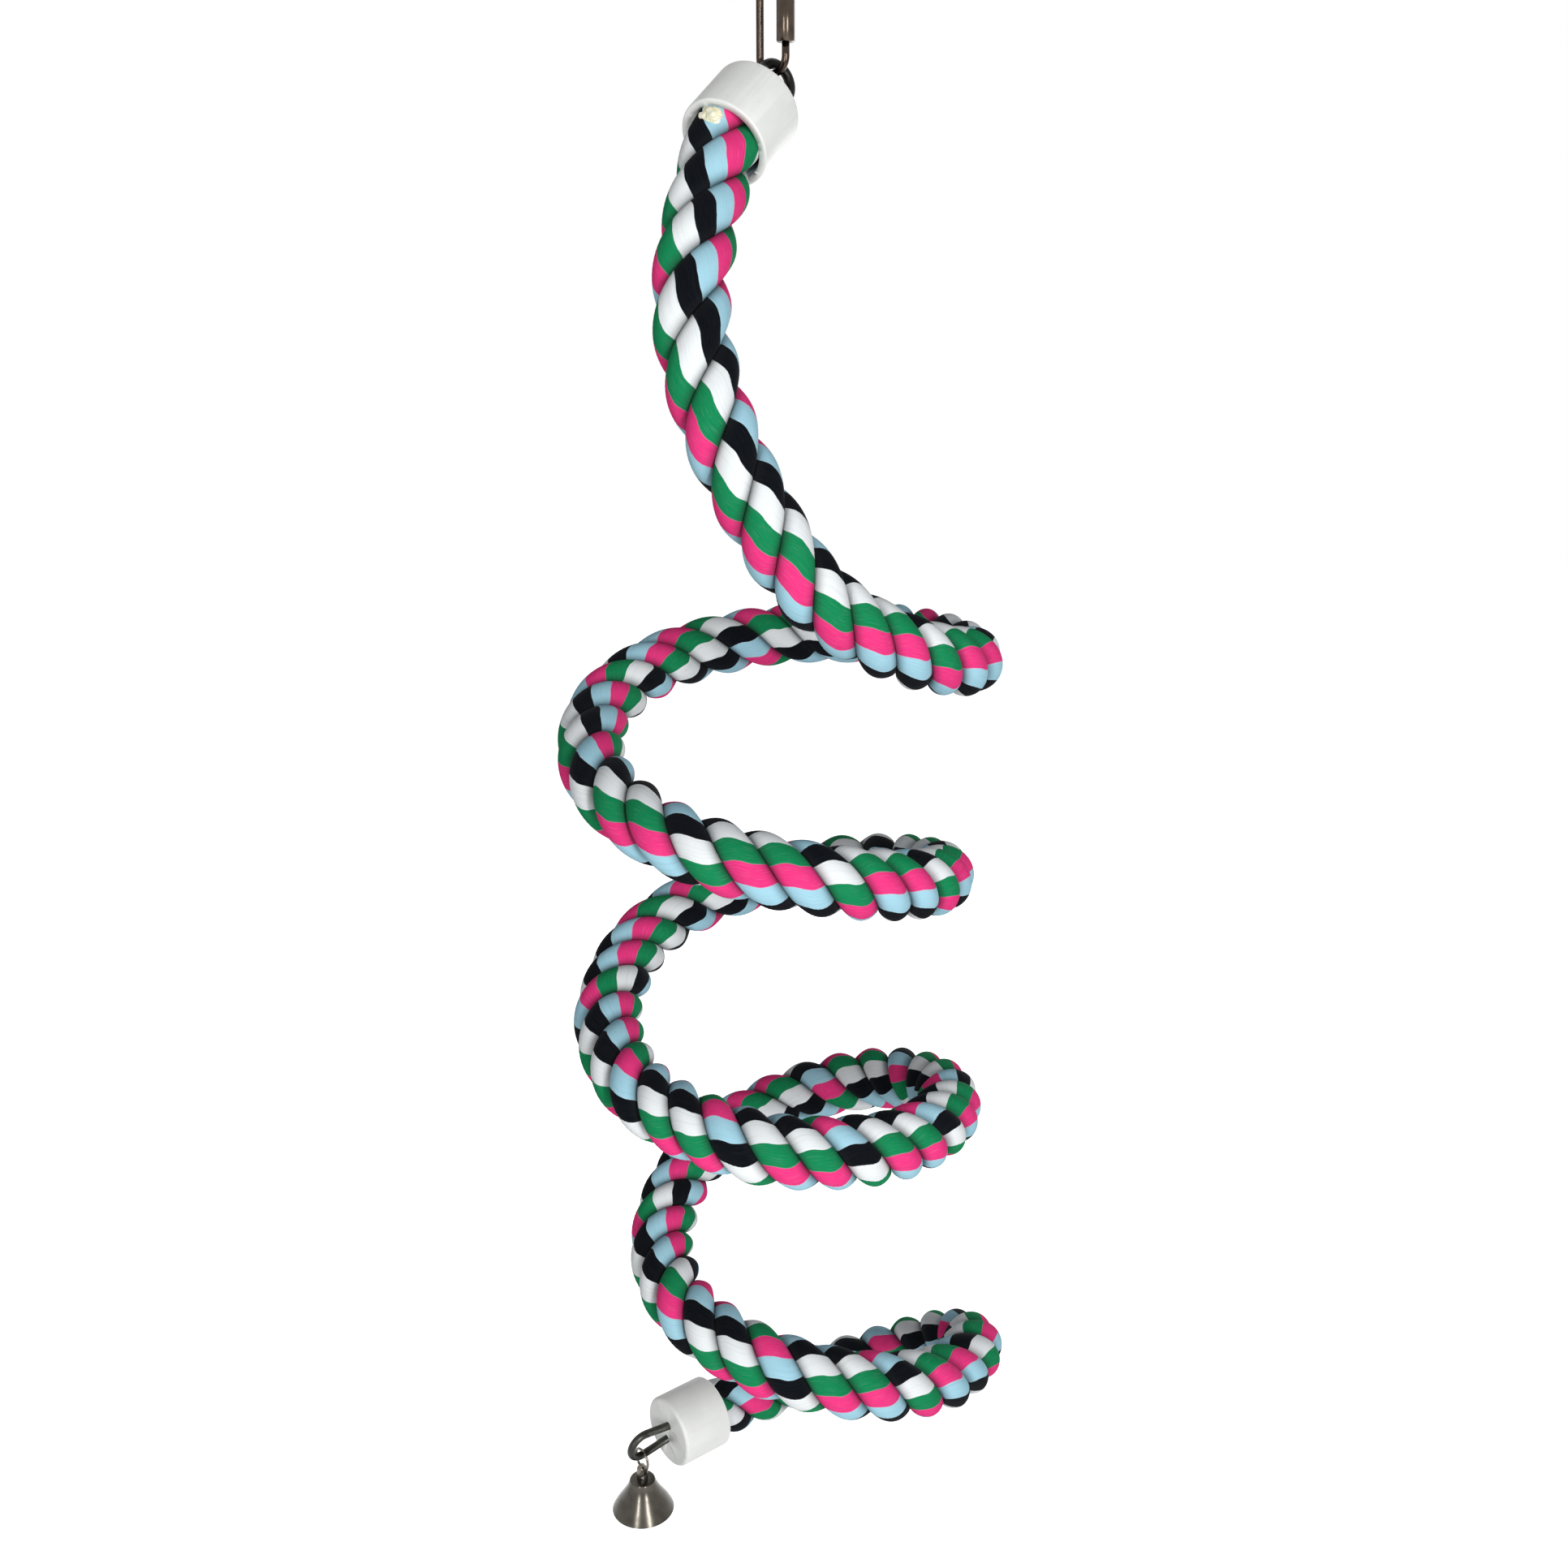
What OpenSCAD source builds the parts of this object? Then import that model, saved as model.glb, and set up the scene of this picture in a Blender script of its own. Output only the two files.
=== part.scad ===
// Spiral rope perch that hangs from a quick link and carries a bell
// The origin is the inside of the quick link's upper bow, where the cage bar bears.
// +X runs to the right, +Y runs away from the front, +Z is up.

/* [Rope] */
// Diameter of the laid rope over the crowns of its strands
rope_d = 31.6; // [28:0.2:33]
// Mean length of rope in which a strand goes once round
lay_len = 64; // [56:1:70]
// Gap between two strands
strand_gap = 0.3; // [0.25:0.05:0.5]
// Diameter of the steel wire in the heart of the rope
core_d = 3; // [2:0.1:3.4]
// Gap between the core wire and the strands
core_gap = 0.9; // [0.8:0.1:1.1]

/* [Coil] */
// Mean radius of the coil, to the middle of the rope
coil_r = 84; // [80:1:90]
// Drop of the coil, from its first right-hand bend to the back of its last turn
coil_drop = 434; // [420:2:450]
// Drop from the swing axis to the first right-hand bend
lead_drop = 247; // [242:1:256]
// Shift of the coil's axis to the side of the swing axis
coil_shift_x = -4; // [-6:0.5:0]
// Shift of the coil's axis behind the swing axis
coil_shift_y = 5; // [2:0.5:8]

/* [End caps] */
// Wall of a pipe cap
cap_wall = 3; // [2.4:0.1:3.4]
// Thickness of a cap's closed end
cap_end_t = 3.6; // [3:0.1:4.4]
// Length of a cap
cap_len = 29; // [28:0.5:34]
// Rounding of a cap's closed end
cap_round = 2; // [1:0.1:2.4]
// Rounding of a cap's open rim
cap_rim_round = 0.8; // [0.4:0.1:1.2]
// Room between the rope's crowns and a cap's bore
cap_ease = 0.6; // [0.5:0.05:0.7]
// Thickness of the glue that fills a cap's closed end
glue_t = 9; // [8:0.5:11]

/* [Eyes] */
// Diameter of the eyes' bent rod
eye_rod_d = 4.2; // [3.6:0.1:4.4]
// Radius of an eye's bend, to the middle of its rod
eye_bend_r = 7.6; // [7.2:0.1:8.2]
// Width between the middles of an eye's legs at the cap's face
eye_pitch = 10; // [9.6:0.1:11]
// Reach from a cap's face to the middle of the eye's bend
eye_reach = 16; // [14:0.5:20]
// Length of the foot that is bent out at the end of each leg
eye_foot = 5; // [4:0.5:6]

/* [Quick link] */
// Diameter of the link's rod
link_rod_d = 3.2; // [2.8:0.1:3.4]
// Clear width inside the link
link_gap = 10.2; // [9.6:0.1:11]
// Clear length inside the link
link_clear_len = 40; // [39:0.5:44]
// Width of the sleeve nut across its flats
nut_flats = 7; // [6.4:0.1:7.2]
// Length of the sleeve nut
nut_len = 16; // [14:0.2:17]
// Travel of the nut from closed to open
nut_travel = 6; // [4:0.5:6]
// Height of the nut's lower end over the swing axis
nut_rise = 11.5; // [11:0.5:13]
// Opening in the link's leg that the nut bridges
link_mouth = 4.2; // [3.5:0.1:4.6]

/* [Bell] */
// Diameter of the bell at its lip
bell_d = 33.6; // [31:0.2:35]
// Height of the bell's shell
bell_h = 19; // [18:0.5:22]
// Thickness of the bell's sheet
bell_t = 0.9; // [0.7:0.05:1.2]
// Outer diameter of the ring that carries the bell
ring_d = 12.8; // [12:0.1:13.4]
// Diameter of the ring's wire
ring_wire_d = 1.4; // [1.2:0.1:1.6]
// Width of the hanger's strip
strip_w = 3; // [2.4:0.1:3.2]
// Thickness of the hanger's strip
strip_t = 0.7; // [0.5:0.05:0.9]
// Clear width inside the hanger
hanger_gap = 3.8; // [3.4:0.1:4.2]
// Length of the hanger between the middles of its bends
hanger_len = 7.8; // [7:0.2:8.4]
// Diameter of the clapper's ball
ball_d = 7; // [6:0.1:7.6]
// Drop from the clapper's pivot to the middle of its ball
clapper_drop = 12; // [11:0.2:12.6]
// Diameter of the clapper's wire
clapper_wire_d = 1.1; // [0.9:0.1:1.3]

/* [Hidden] */
$fn = 64;
// Running gap between pieces that move on each other
move_gap = 0.3;
// Running gap between the nut's bore and the link's rod
nut_play = 0.08;
// Gap round a rod that is set in a hole or in glue
seat_gap = 0.05;
// Overrun of a cut past the face that it opens
over = 1;

// Steepness and heading of the top cap's axis, from its mouth up to its eye
top_tilt = 54;
top_heading = 55;
// Turn of each eye about its cap's axis
top_roll = -20;
bottom_roll = -12;
// Turn of the quick link about the vertical
link_turn = -38;
// Steepness and heading of the bottom cap's axis, from its mouth out to its eye
bottom_tilt = 91;
bottom_heading = 218;
// Place of the bottom cap's face: turn about the coil's axis, radius and drop as shares
bottom_face_turn = 158.5;
bottom_face_radius_share = 0.705;
bottom_face_drop_share = 1.002;

// Radius of the coil at each quarter turn, as shares of coil_r
radius_shares = [1.105, 1.255, 0.965, 1.015, 0.98, 0.88, 0.85, 1.3, 1.01, 0.655, 0.6, 0.985,
    1.27];
// Drop at each quarter turn, as shares of coil_drop
drop_shares = [0, 0.02, 0.09, 0.163, 0.237, 0.302, 0.36, 0.433, 0.498, 0.588, 0.656, 0.722,
    0.839];
// Way of the rope from the top cap to the coil: x and y from the coil's axis as shares of
// coil_r, and the drop below the swing axis as a share of lead_drop
lead_shares = [[-0.32, -0.755, 0.316], [-0.285, -0.87, 0.474], [-0.07, -0.91, 0.658],
    [0.26, -0.8, 0.831], [0.7, -0.52, 0.94]];
// Way of the rope from the coil to the bottom cap, as shares of coil_r and coil_drop
tail_shares = [[1.11, 0.5, 0.9], [0.65, 0.76, 0.966], [0.16, 0.8, 1.006]];
// Turn of the strands ahead of an even lay at even steps along the rope, whose bending opened
// and closed the lay
lay_slips = [
    55, -5, -35, -70, -95, -80, -50, -50, -85, -165, -220, -200, -150, -135, -155, -190,
    -205, -195, -100, -10, 45, 65, 90, 135, 190, 230, 210, 190, 175, 180, 170];
// Stations along a quarter turn
quarter_steps = 3;
// Steps between two stations when the curve is drawn fine
fine_steps = 8;
// Rings along one lay of a strand
rings_per_lay = 10;
// Every so many rings carry a ring of the core wire
core_skip = 2;

// Section of a strand: how far each point lies from the rope's middle, as shares of its radius
valley_share = 0.72;
shoulder_share = 0.93;
// Turn of the section's shoulders from its crown, and half the turn that a strand fills
shoulder_turn = 31;
strand_half_turn = 60;
// Radius of the rope inside the caps as a share of its free radius
neck_share = 0.985;

// Lengths and places that follow from the sizes
rope_r = rope_d / 2;
cap_bore_d = rope_d * neck_share + 2 * cap_ease;
cap_d = cap_bore_d + 2 * cap_wall;
link_pitch = link_gap + link_rod_d;
swing_z = -link_clear_len - link_rod_d / 2;
coil_top_z = swing_z - lead_drop;
coil_axis = [coil_shift_x, coil_shift_y, 0];

// Unit vector of a cap's axis, from its mouth out to its eye
function heading(tilt, turn) = [sin(tilt) * cos(turn), sin(tilt) * sin(turn), cos(tilt)];
top_axis = heading(top_tilt, top_heading);
bottom_axis = heading(bottom_tilt, bottom_heading);
// Unit vector square to an eye's plane, and the one in its plane that points most nearly up
function eye_square(tilt, turn, roll) = cos(roll) * [-sin(turn), cos(turn), 0]
    - sin(roll) * [cos(tilt) * cos(turn), cos(tilt) * sin(turn), -sin(tilt)];
function eye_up(n) = unit([0, 0, 1] - n * n.z);
top_up = eye_up(eye_square(top_tilt, top_heading, top_roll));
bottom_square = eye_square(bottom_tilt, bottom_heading, bottom_roll);
bottom_up = eye_up(bottom_square);
eye_rise = (eye_rod_d + link_rod_d) / 2 + move_gap;
top_bend = [0, 0, swing_z + eye_rise] - top_up * eye_bend_r;
top_face = top_bend - top_axis * eye_reach;
bottom_face = coil_axis + [
    coil_r * bottom_face_radius_share * cos(bottom_face_turn),
    coil_r * bottom_face_radius_share * sin(bottom_face_turn),
    coil_top_z - coil_drop * bottom_face_drop_share];
rope_inset = cap_end_t + glue_t + move_gap;

// Smooth value between the second and third of four values
function between(a, b, c, d, t) = (2 * b + (c - a) * t + (2 * a - 5 * b + 4 * c - d) * t * t
    + (3 * b - a - 3 * c + d) * t * t * t) / 2;
// Smooth value of a table at a place given in table steps
function smooth(table, u) = let (
    last = len(table) - 1,
    i = min(floor(u), last - 1),
    before = i == 0 ? 2 * table[0] - table[1] : table[i - 1],
    after = i + 2 > last ? 2 * table[last] - table[last - 1] : table[i + 2])
    between(before, table[i], table[i + 1], after, u - i);

// Middle of the rope on the coil, by quarter turns from the first right-hand bend
function coil_point(u) = coil_axis + [
    coil_r * smooth(radius_shares, u) * cos(90 * u),
    coil_r * smooth(radius_shares, u) * sin(90 * u),
    coil_top_z - coil_drop * smooth(drop_shares, u)];
function lead_point(share) = coil_axis
    + [share.x * coil_r, share.y * coil_r, swing_z - share.z * lead_drop];
function tail_point(share) = coil_axis
    + [share.x * coil_r, share.y * coil_r, coil_top_z - share.z * coil_drop];

quarter_count = len(radius_shares) - 1;
cap_depths = [rope_inset, (rope_inset + cap_len) / 2, cap_len];
route = concat(
    [for (depth = cap_depths) top_face - top_axis * depth],
    [for (share = lead_shares) lead_point(share)],
    [for (i = [0 : quarter_count * quarter_steps]) coil_point(i / quarter_steps)],
    [for (share = tail_shares) tail_point(share)],
    [for (i = [len(cap_depths) - 1 : -1 : 0]) bottom_face - bottom_axis * cap_depths[i]]);
fine = [for (i = [0 : len(route) - 2], k = [0 : fine_steps - 1]) let (
    before = i == 0 ? 2 * route[0] - route[1] : route[i - 1],
    after = i + 2 == len(route) ? 2 * route[i + 1] - route[i] : route[i + 2])
    between(before, route[i], route[i + 1], after, k / fine_steps)];
line = concat(fine, [route[len(route) - 1]]);

// Length of rope up to each point of the line
reach = [for (i = 0, s = 0; i < len(line);
    s = s + (i + 1 < len(line) ? norm(line[i + 1] - line[i]) : 0), i = i + 1) s];
rope_len = reach[len(reach) - 1];
ring_count = ceil(rope_len / lay_len * rings_per_lay / core_skip) * core_skip;
ring_step = rope_len / ring_count;
along_x = [for (i = [0 : len(line) - 1]) [reach[i], line[i].x]];
along_y = [for (i = [0 : len(line) - 1]) [reach[i], line[i].y]];
along_z = [for (i = [0 : len(line) - 1]) [reach[i], line[i].z]];
function rope_point(s) = [lookup(s, along_x), lookup(s, along_y), lookup(s, along_z)];
middle = [for (i = [0 : ring_count]) rope_point(i * ring_step)];
function unit(v) = v / norm(v);
way = [for (i = [0 : ring_count]) i == 0 ? -top_axis : i == ring_count ? bottom_axis
    : unit(middle[i + 1] - middle[i - 1])];
// A side vector that is carried along the rope without twisting
function square_to(v, t) = unit(v - t * (v * t));
side = [for (i = 0, v = square_to([0, 0, 1], way[0]); i <= ring_count;
    v = i < ring_count ? square_to(v, way[i + 1]) : v, i = i + 1) v];
cross_side = [for (i = [0 : ring_count]) cross(way[i], side[i])];

// Radius of the rope at a ring: drawn in where it sits in a cap
neck_len = cap_len - rope_inset;
function ease(x) = let (t = min(max(x, 0), 1)) t * t * (3 - 2 * t);
function neck(s) = neck_share + (1 - neck_share) * ease((min(s, rope_len - s) - neck_len) / rope_d);

// Turn of the strands at each ring
strand_turns = [for (i = [0 : ring_count]) 360 * i * ring_step / lay_len
    + smooth(lay_slips, i / ring_count * (len(lay_slips) - 1))];

// Section of a strand, from its heel at the core round over its crown
heel_r = core_d / 2 + core_gap;
valley_turn = strand_half_turn - asin(strand_gap / 2 / (valley_share * rope_r));
strand_section = [
    [heel_r, 0],
    [valley_share * rope_r, -valley_turn],
    [shoulder_share * rope_r, -shoulder_turn],
    [rope_r, 0],
    [shoulder_share * rope_r, shoulder_turn],
    [valley_share * rope_r, valley_turn]];
core_sides = 6;
core_section = [for (k = [0 : core_sides - 1]) [core_d / 2, 360 / core_sides * k]];

// Least gap of the coiled rope to itself, measured between its rings
apart_rings = ceil(3 * rope_d / ring_step);
least_gap = min([for (i = [0 : 3 : ring_count - apart_rings], j = [i + apart_rings : 3 : ring_count])
    norm(middle[i] - middle[j])]) - rope_d;
echo(least_gap_of_the_coil = least_gap, gap_between_strands = strand_gap, rope_length = rope_len);

// Tube of a given section that follows the rope's rings, and with a lay turns like the strands
module along_rope(section, first_turn, skip, laid) {
    n = len(section);
    rings = ring_count / skip;
    points = [for (r = [0 : rings], p = section) let (
        i = r * skip,
        turn = p[1] + first_turn + (laid ? strand_turns[i] : 0),
        radius = p[0] * (laid ? neck(i * ring_step) : 1))
        middle[i] + radius * (cos(turn) * side[i] + sin(turn) * cross_side[i])];
    walls = [for (r = [0 : rings - 1], k = [0 : n - 1]) let (
        a = r * n + k,
        b = r * n + (k + 1) % n,
        c = b + n,
        d = a + n)
        each k < n / 2 ? [[a, c, b], [a, d, c]] : [[a, d, b], [b, d, c]]];
    first_end = [for (k = [1 : n - 2]) [0, k, k + 1]];
    last_end = [for (k = [1 : n - 2]) [rings * n, rings * n + k + 1, rings * n + k]];
    polyhedron(points = points, faces = concat(walls, first_end, last_end), convexity = 10);
}

module strand(number) {
    along_rope(strand_section, 2 * strand_half_turn * number, 1, true);
}

module strand_a() { color("whitesmoke") strand(0); }
module strand_b() { color("seagreen") strand(1); }
module strand_c() { color("deeppink") strand(2); }
module core_wire() { color("gray") along_rope(core_section, 0, core_skip, false); }

// Puts what is drawn about a cap's face, with the eye towards +Z, in its place
module at_top() {
    translate(top_face) rotate([0, top_tilt, top_heading]) rotate([0, 0, top_roll]) children();
}
module at_bottom() {
    translate(bottom_face) rotate([0, bottom_tilt, bottom_heading]) rotate([0, 0, bottom_roll])
        children();
}

module quarter_round(r) {
    intersection() {
        circle(r);
        square(r);
    }
}

// Wall of a pipe cap, turned about its axis, with its face at height zero
module cap_profile() {
    square_end = cap_d / 2 - cap_round;
    rim_in = cap_wall - cap_rim_round;
    translate([0, -cap_end_t]) square([square_end, cap_end_t]);
    translate([0, -cap_end_t]) square([cap_d / 2, cap_end_t - cap_round]);
    translate([square_end, -cap_round]) quarter_round(cap_round);
    translate([cap_bore_d / 2, -cap_len + cap_rim_round])
        square([cap_wall, cap_len - cap_rim_round - cap_round]);
    translate([cap_bore_d / 2, -cap_len]) square([rim_in, cap_rim_round]);
    translate([cap_bore_d / 2 + rim_in, -cap_len + cap_rim_round])
        mirror([0, 1]) quarter_round(cap_rim_round);
}

module cap() {
    difference() {
        rotate_extrude() cap_profile();
        for (s = [-1, 1]) eye_leg(s, eye_rod_d + leg_swell + 2 * seat_gap);
    }
}

// An eye's legs lean out from the cap's face until they touch the bend's circle
eye_lean = asin(eye_bend_r / norm([eye_pitch / 2, eye_reach])) - atan2(eye_pitch / 2, eye_reach);
foot_z = -cap_end_t - seat_gap - eye_rod_d / 2;
foot_x = eye_pitch / 2 + foot_z * tan(eye_lean);
touch = eye_bend_r * [cos(eye_lean), -sin(eye_lean)] + [0, eye_reach];
// The legs are a hair thicker than the bend, and their ends lap over its ends
leg_swell = 0.04;
leg_lap = 0.3;
module eye_leg(s, rod_d) {
    translate([s * foot_x, 0, foot_z]) rotate([0, s * eye_lean, 0])
        cylinder(d = rod_d, h = norm(touch - [foot_x, foot_z]) + leg_lap);
}

// Bent rod of an eye: a round bend, two legs through the cap's face and two feet in the glue
module eye_rod(swell) {
    rod_d = eye_rod_d + 2 * swell;
    leg_d = rod_d + leg_swell;
    translate([0, 0, eye_reach]) rotate([90, 0, 0]) rotate([0, 0, -eye_lean])
        rotate_extrude(angle = 180 + 2 * eye_lean) translate([eye_bend_r, 0]) circle(d = rod_d);
    for (s = [-1, 1]) {
        eye_leg(s, leg_d);
        translate([s * foot_x, 0, foot_z]) sphere(d = leg_d);
        translate([s * foot_x, 0, foot_z]) rotate([0, s * 90, 0])
            cylinder(d = leg_d, h = eye_foot + swell);
    }
}

// Glue behind the cap's closed end, round the eye's feet and the end of the core wire
module glue() {
    difference() {
        translate([0, 0, -cap_end_t - glue_t])
            cylinder(d = cap_bore_d - 2 * seat_gap, h = glue_t - seat_gap);
        eye_rod(seat_gap);
    }
}

module top_eye() { color("dimgray") at_top() eye_rod(0); }
module top_cap() { color("white") at_top() cap(); }
module top_glue() { color("palegoldenrod") at_top() glue(); }
module bottom_eye() { color("dimgray") at_bottom() eye_rod(0); }
module bottom_cap() { color("white") at_bottom() cap(); }
module bottom_glue() { color("palegoldenrod") at_bottom() glue(); }

// Quick link: two legs and two bows, with an opening in the right-hand leg
leg_low = swing_z + link_pitch / 2;
leg_high = link_rod_d / 2 - link_pitch / 2;
nut_low = swing_z + nut_rise;
mouth_low = nut_low + (nut_travel - link_mouth) / 2 + move_gap;
module at_link() { rotate([0, 0, link_turn]) children(); }
module quick_link_body() {
    color("silver") at_link() {
        translate([-link_pitch / 2, 0, leg_low]) cylinder(d = link_rod_d, h = leg_high - leg_low);
        translate([link_pitch / 2, 0, leg_low]) cylinder(d = link_rod_d, h = mouth_low - leg_low);
        translate([link_pitch / 2, 0, mouth_low + link_mouth])
            cylinder(d = link_rod_d, h = leg_high - mouth_low - link_mouth);
        translate([0, 0, leg_high]) rotate([90, 0, 0])
            rotate_extrude(angle = 180) translate([link_pitch / 2, 0]) circle(d = link_rod_d);
        translate([0, 0, leg_low]) rotate([-90, 0, 0])
            rotate_extrude(angle = 180) translate([link_pitch / 2, 0]) circle(d = link_rod_d);
    }
}

// Hexagonal sleeve nut with its ends turned down
nut_corner_d = nut_flats / cos(30);
nut_end = (nut_corner_d - nut_flats) / 2;
nut_blank_r = (nut_corner_d + nut_end) / 2;
module quick_link_nut() {
    color("silver") at_link() translate([link_pitch / 2, 0, nut_low]) difference() {
        intersection() {
            cylinder(d = nut_corner_d, h = nut_len, $fn = 6);
            rotate_extrude() polygon([[0, 0], [nut_flats / 2, 0], [nut_blank_r, nut_end],
                [nut_blank_r, nut_len - nut_end], [nut_flats / 2, nut_len], [0, nut_len]]);
        }
        translate([0, 0, -over]) cylinder(d = link_rod_d + 2 * nut_play, h = nut_len + 2 * over);
    }
}

// The ring hangs at the lowest point of the bottom eye's bend
ring_r = (ring_d - ring_wire_d) / 2;
ring_pivot = bottom_face + bottom_axis * eye_reach - bottom_up * eye_bend_r;
ring_turn = atan2(bottom_square.y, bottom_square.x) - 90;
ring_drop = ring_r - ring_wire_d / 2 - eye_rod_d / 2 - move_gap;
// Puts what is drawn about the ring's pivot, with the eye's rod along X, in its place
module at_ring() { translate(ring_pivot) rotate([0, 0, ring_turn]) children(); }

module bell_ring() {
    color("silver") at_ring() translate([0, 0, -ring_drop]) rotate([0, 90, 0])
        rotate_extrude() translate([ring_r, 0]) circle(d = ring_wire_d);
}

// The hanger is a strip bent to a long loop, round the ring at its top and soldered in the crown
bell_pivot_z = -ring_drop - ring_r;
strip_rise = ring_r - sqrt(ring_r * ring_r - strip_w * strip_w / 4);
hanger_top_z = bell_pivot_z + ring_wire_d / 2 + move_gap + strip_rise - hanger_gap / 2;
hanger_low_z = hanger_top_z - hanger_len;
module half_strip() {
    rotate_extrude(angle = 180) translate([hanger_gap / 2, -strip_w / 2]) square([strip_t, strip_w]);
}
module bell_hanger() {
    color("darkkhaki") at_ring() {
        translate([0, 0, hanger_top_z]) rotate([90, 0, 0]) half_strip();
        translate([0, 0, hanger_low_z]) rotate([-90, 0, 0]) half_strip();
        for (s = [-1, 1]) translate([s * (hanger_gap + strip_t) / 2, 0, (hanger_top_z + hanger_low_z) / 2])
            cube([strip_t, strip_w, hanger_len], center = true);
    }
}

// Outer radius of the bell down from its crown, as shares of its lip's radius
bell_radius_shares = [0.42, 0.455, 0.5, 0.555, 0.615, 0.68, 0.75, 0.82, 0.885, 0.945, 1];
bell_steps = 3;
crown_z = hanger_low_z + hanger_len / 4;
bell_table_r = [for (share = bell_radius_shares) share * bell_d / 2];
bell_rows = (len(bell_radius_shares) - 1) * bell_steps;
crown_round = bell_t * 1.4;
bell_side = [for (i = [0 : bell_rows]) let (down = i / bell_rows)
    [smooth(bell_table_r, i / bell_steps), -crown_round - (bell_h - crown_round) * down]];
module bell_shell() {
    outer = concat([[0, 0], [bell_side[0].x - crown_round, 0]],
        [for (a = [15 : 15 : 75]) [bell_side[0].x - crown_round * (1 - sin(a)),
            -crown_round * (1 - cos(a))]],
        bell_side);
    inner = [for (i = [bell_rows : -1 : 0]) [bell_side[i].x - bell_t, bell_side[i].y]];
    color("slategray") at_ring() translate([0, 0, crown_z]) difference() {
        rotate_extrude() polygon(concat(outer, inner, [[bell_side[0].x - bell_t, -bell_t], [0, -bell_t]]));
        cube([hanger_gap + 2 * strip_t + 2 * seat_gap, strip_w + 2 * seat_gap, 2 * bell_t + over],
            center = true);
    }
}

// The clapper's eye hangs on the hanger's lower bend, across it
clapper_pivot_z = hanger_low_z - (hanger_gap + strip_t) / 2;
clapper_eye_r = norm([strip_w, strip_t]) / 2 + move_gap + clapper_wire_d / 2;
module at_clapper() { at_ring() translate([0, 0, clapper_pivot_z]) children(); }
module clapper_wire() {
    color("silver") at_clapper() {
        rotate([0, 90, 0]) rotate_extrude() translate([clapper_eye_r, 0]) circle(d = clapper_wire_d);
        translate([0, 0, -clapper_drop]) cylinder(d = clapper_wire_d, h = clapper_drop - clapper_eye_r);
    }
}
module clapper_ball() {
    color("slategray") at_clapper() translate([0, 0, -clapper_drop]) difference() {
        sphere(d = ball_d);
        cylinder(d = clapper_wire_d + 2 * seat_gap, h = ball_d);
    }
}

quick_link_body();
quick_link_nut();
top_eye();
top_cap();
top_glue();
core_wire();
strand_a();
strand_b();
strand_c();
bottom_glue();
bottom_cap();
bottom_eye();
bell_ring();
bell_hanger();
bell_shell();
clapper_wire();
clapper_ball();
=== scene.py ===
import math

import bpy
import numpy as np
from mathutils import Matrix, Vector, noise


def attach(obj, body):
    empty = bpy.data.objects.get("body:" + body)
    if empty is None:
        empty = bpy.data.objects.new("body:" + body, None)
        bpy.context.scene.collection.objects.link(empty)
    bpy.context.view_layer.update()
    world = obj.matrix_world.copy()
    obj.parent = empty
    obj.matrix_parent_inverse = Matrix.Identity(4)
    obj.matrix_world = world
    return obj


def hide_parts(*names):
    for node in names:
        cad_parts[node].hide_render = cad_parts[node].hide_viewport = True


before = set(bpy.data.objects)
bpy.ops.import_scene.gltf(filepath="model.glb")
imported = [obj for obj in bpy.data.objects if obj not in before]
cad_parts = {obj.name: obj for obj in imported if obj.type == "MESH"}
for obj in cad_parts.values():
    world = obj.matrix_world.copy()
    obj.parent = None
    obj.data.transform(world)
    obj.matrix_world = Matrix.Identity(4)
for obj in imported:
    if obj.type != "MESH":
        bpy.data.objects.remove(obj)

MM = 0.001
up = np.array([0, 0, 1.0])
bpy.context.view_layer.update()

# Sizes that the part's source also has, lengths in metres and turns in degrees
rope_d = 31.6 * MM
rope_r = rope_d / 2
lay_len = 64 * MM
strand_gap = 0.3 * MM
coil_r = 84 * MM
coil_drop = 434 * MM
lead_drop = 247 * MM
coil_shift = (-4 * MM, 5 * MM)
swing_z = -41.6 * MM
top_tilt, top_heading, top_roll = 54, 55, -20
bottom_tilt, bottom_heading = 91, 218
cap_len = 29 * MM
cap_end_t = 3.6 * MM
glue_t = 9 * MM
seat_gap = 0.3 * MM
eye_rod_d = 4.2 * MM
eye_bend_r = 7.6 * MM
eye_reach = 16 * MM
link_rod_d = 3.2 * MM
eye_rise = (eye_rod_d + link_rod_d) / 2 + seat_gap
rope_inset = cap_end_t + glue_t + seat_gap
bottom_face_turn, bottom_face_radius_share, bottom_face_drop_share = 158.5, 0.705, 1.002
# Shares of the coil's radius and drop at each quarter turn
radius_shares = [1.105, 1.255, 0.965, 1.015, 0.98, 0.88, 0.85, 1.3, 1.01, 0.655, 0.6, 0.985,
                 1.27]
drop_shares = [0, 0.02, 0.09, 0.163, 0.237, 0.302, 0.36, 0.433, 0.498, 0.588, 0.656, 0.722,
               0.839]
# Places of the rope above and below the coil: shares of its radius, and of the lead's or coil's drop
lead_shares = [(-0.32, -0.755, 0.316), (-0.285, -0.87, 0.474), (-0.07, -0.91, 0.658),
               (0.26, -0.8, 0.831), (0.7, -0.52, 0.94)]
tail_shares = [(1.11, 0.5, 0.9), (0.65, 0.76, 0.966), (0.16, 0.8, 1.006)]
# Turn of the strands ahead of an even lay at even steps along the rope, in degrees
lay_slips = [
    55, -5, -35, -70, -95, -80, -50, -50, -85, -165, -220, -200, -150, -135, -155, -190,
    -205, -195, -100, -10, 45, 65, 90, 135, 190, 230, 210, 190, 175, 180, 170]
# Share of its thickness that the rope keeps inside the caps
neck_share = 0.985
# Steps of the route in a quarter turn and between its points, and rings in a turn of the lay
quarter_steps = 3
fine_steps = 24
rings_per_lay = 38

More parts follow.
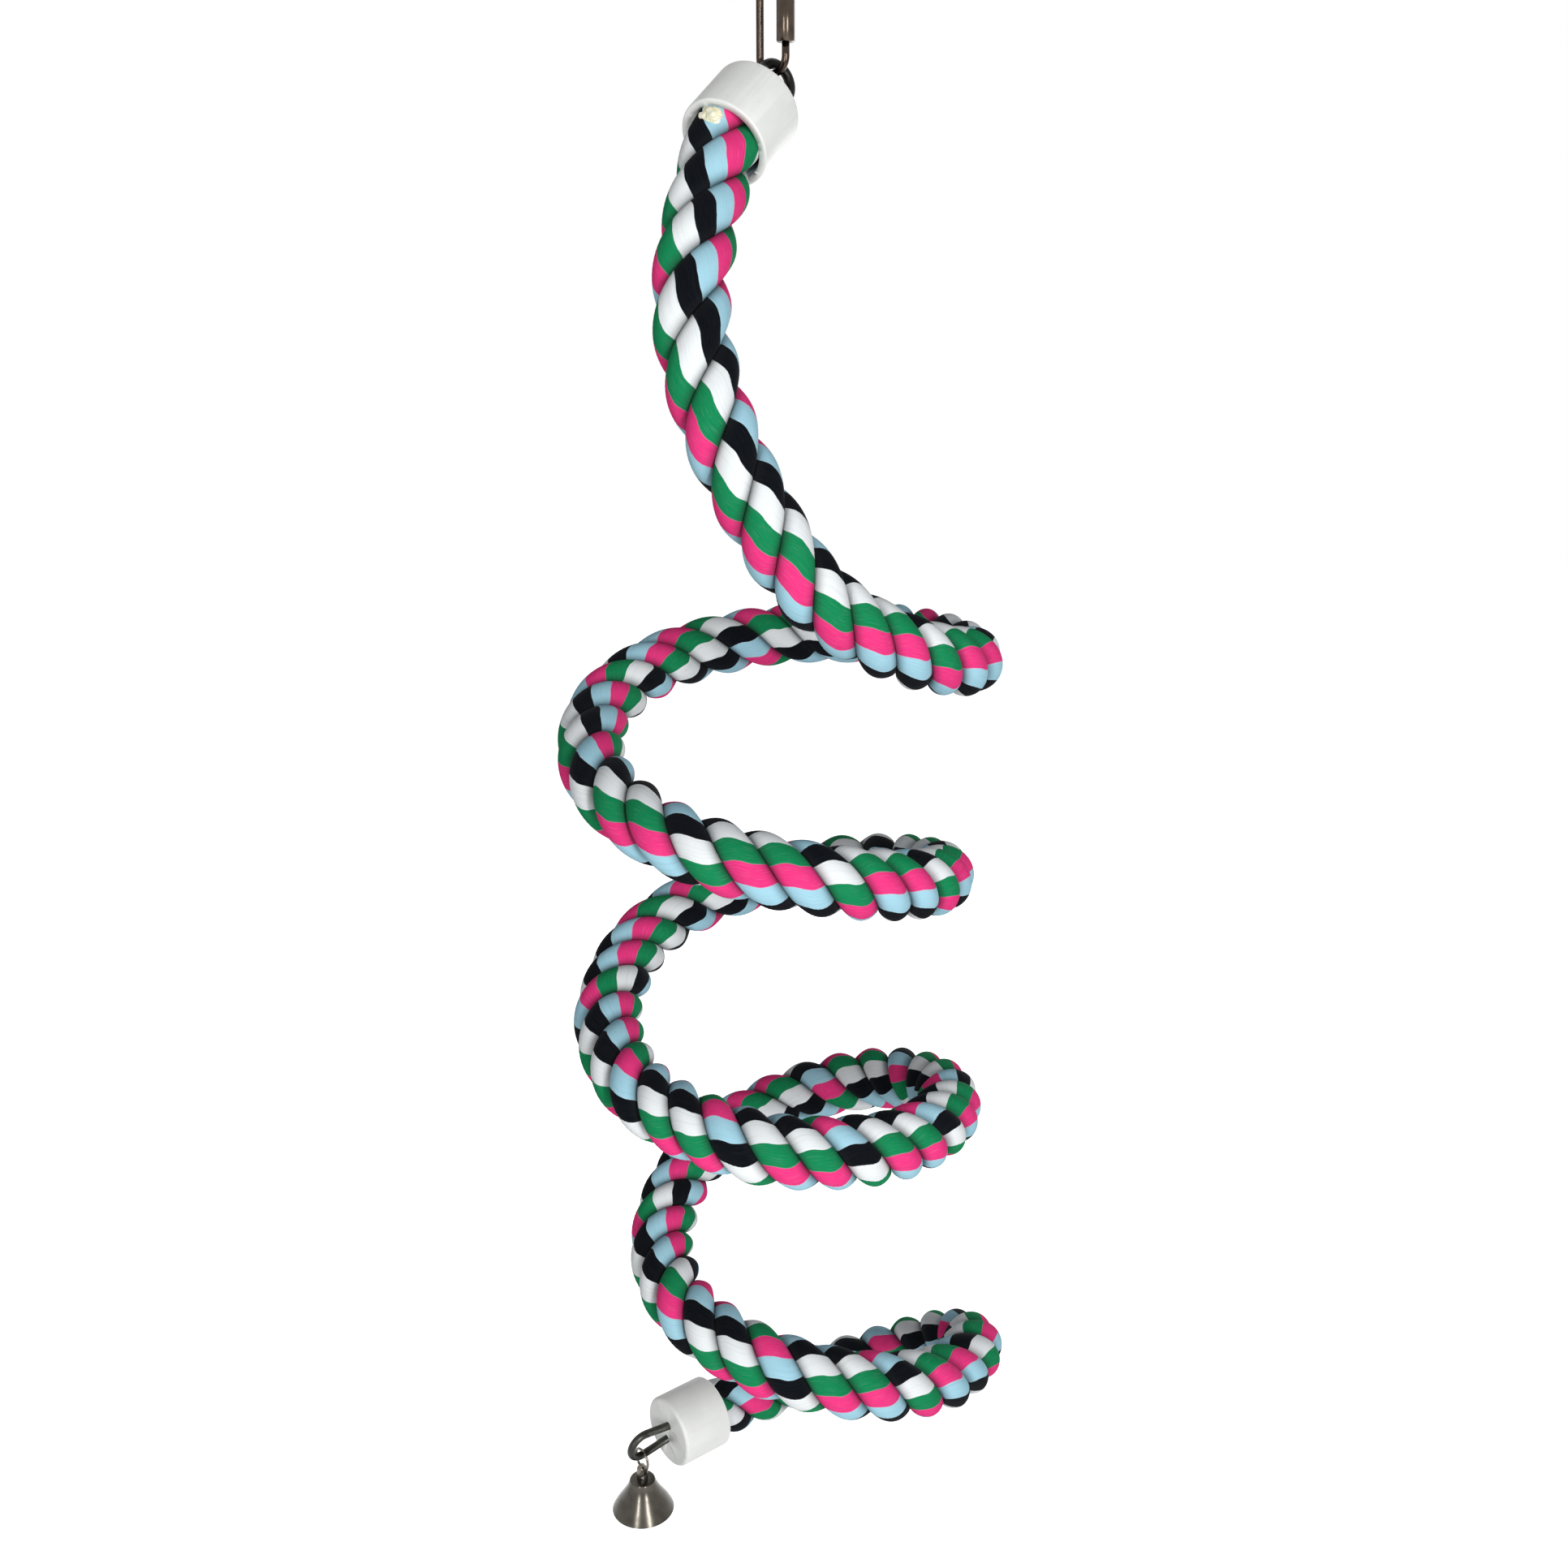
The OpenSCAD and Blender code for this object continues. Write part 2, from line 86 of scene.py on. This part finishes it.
# Petal section of a strand: a rounded crown, deep grooves and a heel at the core wire
valley_share = 0.69
crown_power = 0.72
crown_points = 27
side_shares = np.array([0.45, 0.75])
heel_r = 2.4 * MM
half_turn = math.radians(60)
petal_middle_share = 0.53

# Colours of the yarns, in their order round a strand
white_cotton = (0.74, 0.77, 0.78)
green_cotton = (0.004, 0.21, 0.075)
pink_cotton = (0.76, 0.035, 0.20)
blue_cotton = (0.33, 0.58, 0.69)
black_cotton = (0.0012, 0.002, 0.004)
yarn_colours = [white_cotton, green_cotton, pink_cotton, blue_cotton, black_cotton]
# Turns of the yarns about a strand for each turn of the lay: they run along the rope
yarn_turns_per_lay = 2.14
# Turn of each strand's colours at even steps along the rope, where 1 is one colour's width
colour_slips = [
    [2.6, 5.2, 5.6, 5.9, 6.4, 5.8, 2.9, 1.9, 2.4, 2.7, 2.9, 2.7, 2.4, 2.3, 2.4, 3.1,
     2.9, 2.8, 2.8, 2.7, 3.0, 3.7, 3.9, 4.0, 4.2, 4.7, 6.4, 5.8, 5.8, 3.6, 3.6],
    [6.1, 8.2, 8.0, 8.9, 9.6, 8.4, 5.8, 4.9, 5.1, 5.8, 5.8, 5.9, 5.7, 5.8, 5.6, 6.7,
     6.4, 6.5, 6.4, 6.2, 6.5, 7.1, 7.2, 7.6, 7.4, 8.1, 9.4, 9.2, 8.7, 6.6, 7.2],
    [1.7, 5.6, 6.0, 6.7, 6.8, 5.3, 2.7, 1.9, 1.9, 2.5, 2.8, 2.7, 2.5, 2.9, 2.8, 3.6,
     2.8, 2.9, 2.5, 2.4, 2.4, 2.9, 2.9, 3.1, 3.3, 4.2, 5.9, 5.4, 5.1, 3.4, 3.1]]
# Further turn of each strand's colours inside the top cap, which dies out below it
cap_colour_shift = [0, 0, 2.5]
cap_shift_full = 15 * MM
cap_shift_len = 60 * MM

# Glue squeezed out of the top cap: its place at the mouth and its half sizes round the rim,
# outwards and along the cap
lump_turn = 9
lump_depth = 2.6 * MM
lump_out = 13.4 * MM
lump_half = (5.2 * MM, 3.2 * MM, 3.6 * MM)
# Its swells: their height as a share of its size, and how fine they are
lump_swells = ((0.3, 1.6), (0.1, 5))

# Finish of the rigid pieces: points this close are merged, and edges flatter than this many
# degrees are shaded smooth
merge_gap = 0.01 * MM
smooth_angle = 35

# Camera, as found from the coil's outline
image_px = 1932
focal_px = 1964
sensor_width = 36
camera_place = (4.6 * MM, -710.8 * MM, -137.0 * MM)
camera_look_down = 16.36
lamp_aim = Vector((0, 0, -0.42))
floor_z = -0.86
floor_size = 8
floor_glow = 0.93
ambient_light = 0.2


def unit(vector):
    return vector / np.linalg.norm(vector)


def ease(share):
    """0 below 0, 1 above 1 and smooth between them."""
    inside = np.clip(share, 0, 1)
    return inside * inside * (3 - 2 * inside)


def between(a, b, c, d, t):
    """Smooth value between the second and third of four values."""
    return (2 * b + (c - a) * t + (2 * a - 5 * b + 4 * c - d) * t * t
            + (3 * b - a - 3 * c + d) * t * t * t) / 2


def smooth(table, place):
    """Smooth value of a table at a place given in table steps."""
    last = len(table) - 1
    i = min(int(math.floor(place)), last - 1)
    first = 2 * table[0] - table[1] if i == 0 else table[i - 1]
    after = 2 * table[last] - table[last - 1] if i + 2 > last else table[i + 2]
    return between(first, table[i], table[i + 1], after, place - i)


def heading(tilt, turn):
    """Unit vector of a cap's axis, from its mouth out to its eye."""
    tilt, turn = math.radians(tilt), math.radians(turn)
    return np.array([math.sin(tilt) * math.cos(turn), math.sin(tilt) * math.sin(turn),
                     math.cos(tilt)])


def eye_square(tilt, turn, roll):
    """Unit vector square to a cap's axis and to the plane of its eye's bend."""
    tilt, turn, roll = math.radians(tilt), math.radians(turn), math.radians(roll)
    level = np.array([-math.sin(turn), math.cos(turn), 0])
    sloped = np.array([math.cos(tilt) * math.cos(turn), math.cos(tilt) * math.sin(turn),
                       -math.sin(tilt)])
    return math.cos(roll) * level - math.sin(roll) * sloped


# The caps' places and the rope's route, worked out as in the part's source
coil_axis = np.array([coil_shift[0], coil_shift[1], 0.0])
coil_top_z = swing_z - lead_drop
top_axis = heading(top_tilt, top_heading)
bottom_axis = heading(bottom_tilt, bottom_heading)
top_square = eye_square(top_tilt, top_heading, top_roll)
top_up = unit(up - top_square * top_square[2])
top_bend = np.array([0, 0, swing_z + eye_rise]) - top_up * eye_bend_r
top_face = top_bend - top_axis * eye_reach


def coil_place(radius_share, turn, drop_share):
    """A point at a share of the coil's radius, a turn in degrees and a share of its drop."""
    radius, turn = coil_r * radius_share, math.radians(turn)
    return coil_axis + np.array([radius * math.cos(turn), radius * math.sin(turn),
                                 coil_top_z - coil_drop * drop_share])


def coil_point(quarters):
    return coil_place(smooth(radius_shares, quarters), 90 * quarters,
                      smooth(drop_shares, quarters))


bottom_face = coil_place(bottom_face_radius_share, bottom_face_turn, bottom_face_drop_share)


def rope_line():
    """Finely spaced points along the rope's middle, from inside the top cap to inside the bottom
    one."""
    depths = [rope_inset, (rope_inset + cap_len) / 2, cap_len]
    stations = [top_face - top_axis * depth for depth in depths]
    stations += [coil_axis + np.array([x * coil_r, y * coil_r, swing_z - z * lead_drop])
                 for x, y, z in lead_shares]
    quarters = len(radius_shares) - 1
    stations += [coil_point(i / quarter_steps) for i in range(quarters * quarter_steps + 1)]
    stations += [coil_axis + np.array([x * coil_r, y * coil_r, coil_top_z - z * coil_drop])
                 for x, y, z in tail_shares]
    stations += [bottom_face - bottom_axis * depth for depth in reversed(depths)]
    points = []
    for i in range(len(stations) - 1):
        first = 2 * stations[0] - stations[1] if i == 0 else stations[i - 1]
        last = (2 * stations[i + 1] - stations[i] if i + 2 == len(stations)
                else stations[i + 2])
        points += [between(first, stations[i], stations[i + 1], last, k / fine_steps)
                   for k in range(fine_steps)]
    return np.array(points + [stations[-1]])


def carried_side(way):
    """A direction square to the rope at each ring, carried along it without twisting."""
    sides = np.empty_like(way)
    carried = up
    for i, ahead in enumerate(way):
        carried = unit(carried - ahead * (carried @ ahead))
        sides[i] = carried
    return sides


def along_table(table):
    """Smooth value of a table of even steps along the rope, at each ring."""
    steps = np.linspace(0, len(table) - 1, ring_count + 1)
    return np.array([smooth(table, step) for step in steps])


# Rings of the strands: their places along the rope, their middles and their directions
line = rope_line()
line_reach = np.concatenate([[0], np.cumsum(np.linalg.norm(np.diff(line, axis=0), axis=1))])
rope_len = line_reach[-1]
ring_count = int(math.ceil(rope_len / lay_len * rings_per_lay))
ring_at = np.linspace(0, rope_len, ring_count + 1)
middle = np.stack([np.interp(ring_at, line_reach, line[:, k]) for k in range(3)], axis=1)
way = np.gradient(middle, axis=0)
way[0], way[-1] = -top_axis, bottom_axis
way /= np.linalg.norm(way, axis=1)[:, None]
side = carried_side(way)
cross_side = np.cross(way, side)
neck_len = cap_len - rope_inset
neck = neck_share + (1 - neck_share) * ease(
    (np.minimum(ring_at, rope_len - ring_at) - neck_len) / rope_d)
lay_turn = 2 * math.pi * ring_at / lay_len + np.radians(along_table(lay_slips))


def petal():
    """Points of a strand's section as radii and angles, from the heel round over the crown, and
    the angle at which each lies about the strand's own middle."""
    edge = half_turn - math.asin(strand_gap / 2 / (valley_share * rope_r))
    crown_angles = np.linspace(-edge, edge, crown_points)
    bulge = np.cos(crown_angles / edge * math.pi / 2).clip(0, 1) ** crown_power
    crown_radii = rope_r * (valley_share + (1 - valley_share) * bulge)
    side_radii = side_shares * rope_r * valley_share
    side_angles = half_turn - np.arcsin(strand_gap / 2 / side_radii)
    radii = np.concatenate([[heel_r], side_radii, crown_radii, side_radii[::-1]])
    angles = np.concatenate([[0], -side_angles, crown_angles, side_angles[::-1]])
    about = np.arctan2(radii * np.sin(angles),
                       radii * np.cos(angles) - petal_middle_share * rope_r)
    about[0] = -math.pi
    return radii, angles, about


def yarn_map(number, ring, place, about):
    """UV corners of a strand's faces: the colours' turn across it, and the length along it."""
    cap_shift = cap_colour_shift[number] * ease(1 - (ring_at - cap_shift_full) / cap_shift_len)
    slip = (along_table(colour_slips[number]) + cap_shift) / len(yarn_colours)
    base = yarn_turns_per_lay * lay_turn / (2 * math.pi) + slip
    across = about / (2 * math.pi)
    across_next = np.append(across[1:], 0.5)
    corners = np.zeros((len(ring), 4, 2))
    order = ((0, across), (0, across_next), (1, across_next), (1, across))
    for corner, (rings_on, turn) in enumerate(order):
        corners[:, corner, 0] = base[ring + rings_on] + turn[place]
        corners[:, corner, 1] = ring_at[ring + rings_on]
    return corners.reshape(-1)


def laid_strand(name, number):
    """One strand of the rope as a tube of petal section that turns with the lay, with its yarns'
    UV map and its depth in the grooves."""
    radii, angles, about = petal()
    count = len(radii)
    turn = lay_turn[:, None] + angles[None, :] + 2 * half_turn * number
    swell = neck[:, None] * radii[None, :]
    points = (middle[:, None, :]
              + (swell * np.cos(turn))[:, :, None] * side[:, None, :]
              + (swell * np.sin(turn))[:, :, None] * cross_side[:, None, :])
    ring = np.repeat(np.arange(ring_count), count)
    place = np.tile(np.arange(count), ring_count)
    after = (place + 1) % count
    quads = np.stack([ring * count + place, ring * count + after,
                      (ring + 1) * count + after, (ring + 1) * count + place], axis=-1)
    ends = [list(range(count - 1, -1, -1)), [ring_count * count + k for k in range(count)]]
    mesh = bpy.data.meshes.new(name)
    mesh.from_pydata(points.reshape(-1, 3).tolist(), [], quads.tolist() + ends)
    end_corners = np.zeros(2 * 2 * count)
    layer = mesh.uv_layers.new(name="yarn")
    layer.data.foreach_set("uv", np.concatenate([yarn_map(number, ring, place, about),
                                                 end_corners]))
    mesh.polygons.foreach_set("use_smooth", np.ones(len(mesh.polygons), dtype=bool))
    # Depth in the grooves: 0 at the crown and 1 at the valley, which sets the cotton's painted shade
    groove = ((1 - radii / rope_r) / (1 - valley_share)).clip(0, 1)
    depth = mesh.attributes.new("groove", "FLOAT", "POINT")
    depth.data.foreach_set("value", np.tile(groove, ring_count + 1))
    mesh.update()
    obj = bpy.data.objects.new(name, mesh)
    bpy.context.scene.collection.objects.link(obj)
    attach(obj, "perch")
    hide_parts(name)
    return obj


def deselect():
    bpy.ops.object.select_all(action="DESELECT")


def finished_copy(node, body):
    """A merged and smoothly shaded copy of a CAD node's mesh, which stands for it."""
    deselect()
    obj = bpy.data.objects.new(node + "_finished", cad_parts[node].data.copy())
    bpy.context.scene.collection.objects.link(obj)
    obj.data.materials.clear()
    bpy.context.view_layer.objects.active = obj
    obj.select_set(True)
    bpy.ops.object.mode_set(mode="EDIT")
    bpy.ops.mesh.select_all(action="SELECT")
    bpy.ops.mesh.remove_doubles(threshold=merge_gap)
    bpy.ops.object.mode_set(mode="OBJECT")
    bpy.ops.object.shade_smooth_by_angle(angle=math.radians(smooth_angle))
    deselect()
    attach(obj, body)
    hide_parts(node)
    return obj


def glue_lump():
    """Glue that was squeezed out of the top cap's mouth and set on the rope in its upper edge."""
    deselect()
    bpy.ops.mesh.primitive_ico_sphere_add(subdivisions=5, radius=1)
    obj = bpy.context.object
    obj.name = "glue_lump"
    mouth_up = unit(up - top_axis * top_axis[2])
    across = np.cross(top_axis, mouth_up)
    turn = math.radians(lump_turn)
    outward = math.cos(turn) * mouth_up + math.sin(turn) * across
    round_rim = np.cross(top_axis, outward)
    lump_middle = top_face - top_axis * (cap_len + lump_depth) + outward * lump_out
    for vertex in obj.data.vertices:
        ray = vertex.co.normalized()
        swell = 1 + sum(height * noise.noise(ray * fineness) for height, fineness in lump_swells)
        vertex.co = lump_middle + swell * (
            ray.x * lump_half[0] * round_rim + ray.y * lump_half[1] * outward
            + ray.z * lump_half[2] * top_axis)
    for face in obj.data.polygons:
        face.use_smooth = True
    deselect()
    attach(obj, "perch")
    return obj


class Wire:
    """A node's output that takes part in Python expressions, each of which adds its Math node."""

    def __init__(self, tree, socket):
        self.tree = tree
        self.socket = socket

    def output(self, key):
        """Another output of the same node."""
        return Wire(self.tree, self.socket.node.outputs[key])

    def calculate(self, operation, *values):
        return node(self.tree, "ShaderNodeMath", {"operation": operation}, dict(enumerate(values)))

    def __add__(self, other):
        return self.calculate("ADD", self, other)

    def __radd__(self, other):
        return self.calculate("ADD", other, self)

    def __sub__(self, other):
        return self.calculate("SUBTRACT", self, other)

    def __rsub__(self, other):
        return self.calculate("SUBTRACT", other, self)

    def __mul__(self, other):
        return self.calculate("MULTIPLY", self, other)

    def __rmul__(self, other):
        return self.calculate("MULTIPLY", other, self)

    def __abs__(self):
        return self.calculate("ABSOLUTE", self)

    def fraction(self):
        return self.calculate("FRACT", self)

    def most(self, other):
        """The larger of two values."""
        return self.calculate("MAXIMUM", self, other)

    def band(self, low, high):
        """0 below low, 1 above high and smooth between them."""
        return node(self.tree, "ShaderNodeMapRange", {"interpolation_type": "SMOOTHSTEP"},
                    {"Value": self, "From Min": low, "From Max": high, "To Min": 0, "To Max": 1})


def node(tree, kind, settings=None, inputs=None, out=0):
    """Adds a shader node: its settings first, then the values or links of its sockets."""
    made = tree.nodes.new(kind)
    for key, value in (settings or {}).items():
        if key == "stops":
            set_stops(made.color_ramp, value)
        else:
            setattr(made, key, value)
    for key, value in (inputs or {}).items():
        if isinstance(value, Wire):
            tree.links.new(value.socket, made.inputs[key])
        else:
            made.inputs[key].default_value = value
    return Wire(tree, made.outputs[out]) if made.outputs else None


def set_stops(ramp, colours):
    """Gives a colour ramp equal steps of flat colour."""
    ramp.interpolation = "CONSTANT"
    while len(ramp.elements) > 1:
        ramp.elements.remove(ramp.elements[-1])
    for i, colour in enumerate(colours):
        place = i / len(colours)
        stop = ramp.elements[0] if i == 0 else ramp.elements.new(place)
        stop.position = place
        stop.color = (*colour, 1)


def mix_colour(tree, factor, a, b):
    """Mixes two colours, each a wire or a triple of numbers."""
    a, b = (value if isinstance(value, Wire) else (*value, 1) for value in (a, b))
    return node(tree, "ShaderNodeMix", {"data_type": "RGBA"}, {0: factor, 6: a, 7: b}, out=2)


def material(name, **constants):
    """A new material with a Principled shader that holds the given constants."""
    mat = bpy.data.materials.new(name)
    mat.use_nodes = True
    shader = next(n for n in mat.node_tree.nodes if n.type == "BSDF_PRINCIPLED")
    for key, value in constants.items():
        shader.inputs[key.replace("_", " ")].default_value = value
    return mat, mat.node_tree, shader


def feed(tree, shader, **wires):
    """Links wires to the shader's sockets of these names."""
    for key, wire in wires.items():
        tree.links.new(wire.socket, shader.inputs[key.replace("_", " ")])


def bump(tree, strength, distance, height):
    return node(tree, "ShaderNodeBump", None,
                {"Strength": strength, "Distance": distance, "Height": height})


def yarn_noise(tree, turn, along, across_scale, along_scale, detail, rough=0.5):
    """Noise on a strand's surface, with its own scales across and along the yarns."""
    point = node(tree, "ShaderNodeCombineXYZ", None,
                 {0: turn * across_scale, 1: along * along_scale})
    return node(tree, "ShaderNodeTexNoise", {"noise_dimensions": "2D"},
                {"Vector": point, "Scale": 1, "Detail": detail, "Roughness": rough})


def body_noise(tree, scale, detail, rough=0.5):
    """Noise that is fixed to the object."""
    point = node(tree, "ShaderNodeTexCoord", out="Object")
    return node(tree, "ShaderNodeTexNoise", None,
                {"Vector": point, "Scale": scale, "Detail": detail, "Roughness": rough})


def cotton_yarn():
    """Five colours of cotton yarn, side by side round each strand, with fine fibre lines, pale
    fuzz, painted shade in dark streaks along the yarns, and painted shade in the grooves
    between the strands."""
    fuzz, lint = (0.72, 0.75, 0.76), (0.7, 0.74, 0.75)
    # Colours of painted shade: dark streaks along the yarns, and the grooves between the strands
    fibre_shade, shadow = (0.02, 0.03, 0.035), (0.012, 0.014, 0.016)
    wander_share, fibre_shade_share, lint_share, shadow_share = 0.022, 0.12, 0.15, 0.6
    mat, tree, shader = material("cotton_yarn", Roughness=0.95, Specular_IOR_Level=0.1)
    turn = node(tree, "ShaderNodeSeparateXYZ", None,
                {0: node(tree, "ShaderNodeUVMap", {"uv_map": "yarn"})})
    along = turn.output(1)
    wander = yarn_noise(tree, turn, along, across_scale=10, along_scale=120, detail=2)
    place = (turn + (wander - 0.5) * wander_share).fraction()
    colour = node(tree, "ShaderNodeValToRGB", {"stops": yarn_colours}, {"Fac": place})
    fibre = yarn_noise(tree, turn, along, across_scale=260, along_scale=150, detail=3, rough=0.6)
    tuft = yarn_noise(tree, turn, along, across_scale=90, along_scale=40, detail=3)
    # Fuzz shows most on the pale yarns
    brightness = node(tree, "ShaderNodeRGBToBW", None, {"Color": colour})
    fuzz_share = brightness * 0.5 + 0.012
    fuzzy = mix_colour(tree, fibre.band(0.5, 0.85) * fuzz_share, colour, fuzz)
    # Painted shade: dark streaks along the yarns where the tuft noise is high
    fibre_shaded = mix_colour(tree, tuft.band(0.5, 0.78) * fibre_shade_share, fuzzy, fibre_shade)
    from_yarn_middle = abs((place * len(yarn_colours)).fraction() - 0.5)
    edged = mix_colour(tree, from_yarn_middle.band(0.472, 0.5) * lint_share, fibre_shaded, lint)
    # Painted shade: the yarn's colour darkens towards the grooves between the strands
    groove = node(tree, "ShaderNodeAttribute", {"attribute_name": "groove"}, out="Fac")
    feed(tree, shader,
         Base_Color=mix_colour(tree, groove.band(0.25, 1) * shadow_share, edged, shadow),
         Normal=bump(tree, 0.25, 0.4 * MM, fibre * 0.8 + tuft * 0.3))
    return mat


def white_pipe_plastic():
    """Satin white plastic, a little cloudy, with a few grey scuffs."""
    clean, cloudy, grey = (0.78, 0.79, 0.76), (0.70, 0.71, 0.69), (0.30, 0.31, 0.29)
    cloud_share, scuff_share = 0.6, 0.5
    mat, tree, shader = material("white_pipe_plastic", IOR=1.5)
    cloud = body_noise(tree, 60, detail=3)
    scuff = body_noise(tree, 420, detail=4, rough=0.7)
    mark = scuff.band(0.66, 0.72) * cloud.band(0.52, 0.62)
    base = mix_colour(tree, cloud.band(0.3, 0.7) * cloud_share, clean, cloudy)
    feed(tree, shader, Base_Color=mix_colour(tree, mark * scuff_share, base, grey),
         Roughness=cloud * 0.15 + 0.36, Normal=bump(tree, 0.12, 0.3 * MM, scuff))
    return mat


def plated(name, colour, rough, smear=0.1, grain=0.01):
    """Plated metal with faint smears and specks: smear is how much rougher the smears are, and
    grain how strong the specks."""
    tarnish_share = 0.7
    mat, tree, shader = material(name, Metallic=1.0)
    cloud = body_noise(tree, 180, detail=4)
    speck = body_noise(tree, 900, detail=3)
    tarnished = tuple(channel * 0.6 for channel in colour)
    feed(tree, shader,
         Base_Color=mix_colour(tree, cloud.band(0.4, 0.7) * tarnish_share, colour, tarnished),
         Roughness=(cloud.band(0.3, 0.7) * smear + rough).most(0.04),
         Normal=bump(tree, grain, 0.2 * MM, speck))
    return mat


def waxy_glue():
    """Set glue, unevenly yellowed."""
    yellow, pale = (0.74, 0.70, 0.44), (0.80, 0.79, 0.66)
    mat, tree, shader = material("waxy_glue", Roughness=0.4)
    cloud = body_noise(tree, 300, detail=3)
    feed(tree, shader, Base_Color=mix_colour(tree, cloud.band(0.3, 0.7), yellow, pale))
    return mat


def paint(obj, mat):
    obj.data.materials.clear()
    obj.data.materials.append(mat)


def all_pieces():
    """Makes the strands, the finished copies and the glue lump, each with its finish."""
    cotton = cotton_yarn()
    plastic = white_pipe_plastic()
    nickel = plated("bright_nickel", (0.055, 0.041, 0.032), 0.12, smear=0.03, grain=0)
    # Painted light: a lighter copy of the link's nickel for the nut, standing in for the highlights
    # on its faces
    lit_nut_nickel = plated("lit_nut_nickel", (0.085, 0.066, 0.052), 0.2, smear=0.05, grain=0)
    ring_nickel = plated("ring_nickel", (0.16, 0.14, 0.115), 0.2, smear=0.05, grain=0)
    dark_steel = plated("dull_steel", (0.022, 0.021, 0.02), 0.3)
    worn_steel = plated("worn_steel", (0.048, 0.049, 0.043), 0.32)
    strip_bronze = plated("dull_bronze", (0.2, 0.18, 0.145), 0.22)
    bell_nickel = plated("dark_bell_nickel", (0.085, 0.078, 0.067), 0.22, smear=0.04, grain=0.003)
    glue = waxy_glue()
    wire_steel = plated("galvanised_wire", (0.35, 0.35, 0.35), 0.4)
    for number, name in enumerate(("strand_a", "strand_b", "strand_c")):
        paint(laid_strand(name, number), cotton)
    finishes = {
        "quick_link_body": ("quick_link", nickel), "quick_link_nut": ("sleeve_nut", lit_nut_nickel),
        "top_eye": ("perch", dark_steel), "bottom_eye": ("perch", worn_steel),
        "top_cap": ("perch", plastic), "bottom_cap": ("perch", plastic),
        "top_glue": ("perch", glue), "bottom_glue": ("perch", glue),
        "bell_ring": ("ring", ring_nickel), "bell_hanger": ("bell", strip_bronze),
        "bell_shell": ("bell", bell_nickel), "clapper_wire": ("clapper", nickel),
        "clapper_ball": ("clapper", bell_nickel), "core_wire": ("perch", wire_steel)}
    for name, (body, mat) in finishes.items():
        paint(finished_copy(name, body), mat)
    paint(glue_lump(), glue)


def photo_camera():
    data = bpy.data.cameras.new("photo_camera")
    data.sensor_width = sensor_width
    data.lens = sensor_width * focal_px / image_px
    camera = bpy.data.objects.new("photo_camera", data)
    camera.location = camera_place
    camera.rotation_euler = (math.radians(90 - camera_look_down), 0, 0)
    bpy.context.scene.collection.objects.link(camera)
    bpy.context.scene.camera = camera


def softbox(name, place, size, power):
    """A soft rectangular lamp that faces the coil."""
    data = bpy.data.lights.new(name, "AREA")
    data.shape = "RECTANGLE"
    data.size, data.size_y = size
    data.energy = power
    lamp = bpy.data.objects.new(name, data)
    lamp.location = place
    lamp.rotation_euler = (lamp_aim - Vector(place)).to_track_quat("-Z", "Y").to_euler()
    bpy.context.scene.collection.objects.link(lamp)


def seen_or_mirrored(tree):
    """1 where the camera sees a surface straight, mirrored or through another."""
    path = node(tree, "ShaderNodeLightPath", out="Is Camera Ray")
    return path.most(path.output("Is Glossy Ray")).most(path.output("Is Transmission Ray"))


def white_studio():
    """Soft ambient light, and white for what the camera sees."""
    world = bpy.data.worlds.new("white_studio")
    bpy.context.scene.world = world
    world.use_nodes = True
    tree = world.node_tree
    tree.nodes.clear()
    ambient = node(tree, "ShaderNodeBackground", None,
                   {"Color": (0.95, 0.97, 1, 1), "Strength": ambient_light})
    white = node(tree, "ShaderNodeBackground", None, {"Color": (1, 1, 1, 1), "Strength": 1})
    blend = node(tree, "ShaderNodeMixShader", None,
                 {0: seen_or_mirrored(tree), 1: ambient, 2: white})
    node(tree, "ShaderNodeOutputWorld", None, {"Surface": blend})


def pale_floor():
    """A plain floor that glows white where it is seen, and keeps the object's shadow."""
    deselect()
    bpy.ops.mesh.primitive_plane_add(size=floor_size, location=(0, 0, floor_z))
    floor = bpy.context.object
    floor.name = "floor"
    bpy.ops.object.transform_apply(location=True, rotation=True, scale=True)
    mat, tree, shader = material("pale_floor", Base_Color=(0.8, 0.8, 0.8, 1), Roughness=0.9)
    plain = Wire(tree, shader.outputs["BSDF"])
    glow = node(tree, "ShaderNodeEmission", None, {"Color": (1, 1, 1, 1), "Strength": floor_glow})
    bright = node(tree, "ShaderNodeAddShader", None, {0: plain, 1: glow})
    blend = node(tree, "ShaderNodeMixShader", None,
                 {0: seen_or_mirrored(tree), 1: plain, 2: bright})
    output = next(n for n in tree.nodes if n.type == "OUTPUT_MATERIAL")
    tree.links.new(blend.socket, output.inputs["Surface"])
    paint(floor, mat)


all_pieces()
photo_camera()
softbox("right_strip_light", place=(0.6, -1.3, -0.12), size=(0.14, 0.72), power=14.5)
softbox("left_strip_light", place=(-0.55, -1.4, -0.12), size=(0.11, 0.72), power=8.2)
softbox("back_light", place=(0.6, 1.3, -0.5), size=(0.9, 0.6), power=6)
white_studio()
pale_floor()
bpy.context.scene.view_settings.view_transform = "Standard"
